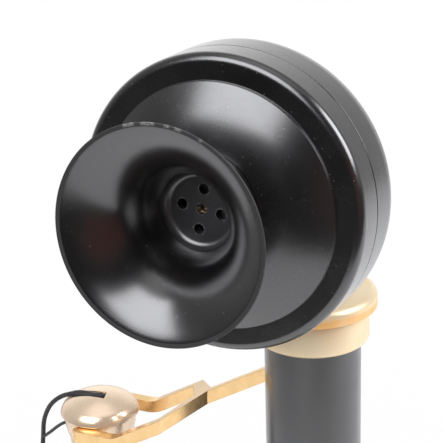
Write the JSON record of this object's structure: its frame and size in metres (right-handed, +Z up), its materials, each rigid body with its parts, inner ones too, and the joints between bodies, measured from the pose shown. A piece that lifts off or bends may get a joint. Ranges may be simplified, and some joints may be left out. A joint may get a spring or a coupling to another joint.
{
  "type": "rotary telephone",
  "caption": "Candlestick telephone: round foot with a finger dial, stem with brass collar, tilting transmitter with horn mouthpiece, and a receiver hung in a forked switch hook.",
  "frame": {"origin": "middle of the felt underside, on the stem's axis", "axes": "+Z up the stem, -Y the way the mouthpiece and the dial face, -X the way the switch hook points"},
  "size_m": [0.1957, 0.2123, 0.3304],
  "materials": {
    "black_enamel": "satin black lacquer over turned brass",
    "black_rubber_shell": "satin black moulded hard rubber",
    "brass": "polished, lacquered",
    "white_enamel": "white vitreous enamel",
    "card": "matt card",
    "felt": "dark green wool felt",
    "zinc_plate": "plated sheet",
    "steel": "turned steel",
    "contact_metal": "spring bronze",
    "insulator": "brown fibre",
    "coil_winding": "enamelled copper wire",
    "soft_rubber": "black soft rubber",
    "cord": "black braided cotton"
  },
  "bodies": {
    "stand": {"felt_pad": "felt", "base_plate": "zinc_plate", "base_screws": "steel", "base_shell": "black_enamel", "stem_foot_ring": "black_enamel", "stem_tube": "black_enamel", "collar": "brass", "stem_plug": "zinc_plate", "perch_post": "black_enamel", "pivot_screw": "brass", "pivot_nut": "brass", "hook_bracket": "zinc_plate", "hook_pin": "steel", "contact_block": "insulator", "contact_springs": "contact_metal", "dial_bezel": "brass", "number_plate": "white_enamel", "finger_stop": "brass", "dial_frame": "zinc_plate", "dial_posts": "steel", "return_spring_case": "zinc_plate", "governor_cup": "zinc_plate", "pulse_springs": "contact_metal", "induction_coil": "coil_winding", "induction_core": "steel", "condenser_can": "zinc_plate", "terminal_block": "insulator", "terminal_screws": "steel", "line_gland": "soft_rubber", "receiver_cord_bushing": "soft_rubber", "receiver_cord": "cord"},
    "transmitter": {"transmitter_lug": "black_enamel", "back_cup": "black_enamel", "faceplate": "black_enamel", "mouthpiece": "black_rubber_shell", "mouth_grille": "black_rubber_shell", "diaphragm": "steel", "diaphragm_gasket": "soft_rubber", "clamp_ring": "zinc_plate", "carbon_button": "insulator", "button_stud": "brass", "button_bridge": "zinc_plate", "bridge_screws": "steel"},
    "hook": {"switch_hook": "brass"},
    "receiver": {"tail_cap": "brass", "cord_sleeve": "soft_rubber", "receiver_shell": "black_rubber_shell", "ear_cap": "black_rubber_shell", "receiver_diaphragm": "steel", "receiver_magnet": "steel", "receiver_coils": "coil_winding"},
    "dial": {"finger_wheel": "brass", "dial_shaft": "steel", "card_ring": "brass", "number_card": "card", "pulse_cam": "insulator"}
  },
  "joints": [
    {"name": "transmitter_tilt", "type": "hinge", "parent": "stand", "child": "transmitter", "pos_m": [0, 0, 0.2849], "axis": [-1, 0, 0], "range_deg": [-20, 20]},
    {"name": "receiver_lift", "type": "slide", "parent": "stand", "child": "receiver", "axis": [-0.866, 0, 0.5], "range_m": [0, 0.08], "deforming": ["receiver_cord"]},
    {"name": "hook_rise", "type": "hinge", "parent": "stand", "child": "hook", "pos_m": [0.004, 0, 0.214], "axis": [0, 1, 0], "range_deg": [0, 10], "stiffness_Nm_per_rad": 0.2, "springref_deg": 20.05},
    {"name": "dial_turn", "type": "hinge", "parent": "stand", "child": "dial", "pos_m": [0, -0.06, 0.042], "axis": [0, 0.7071, -0.7071], "range_deg": [0, 330], "stiffness_Nm_per_rad": 0.004, "springref_deg": -57.3}
  ],
  "couplings": [
    {"joint": "hook_rise", "follows": "receiver_lift", "rad_per_m": 2.18}
  ]
}
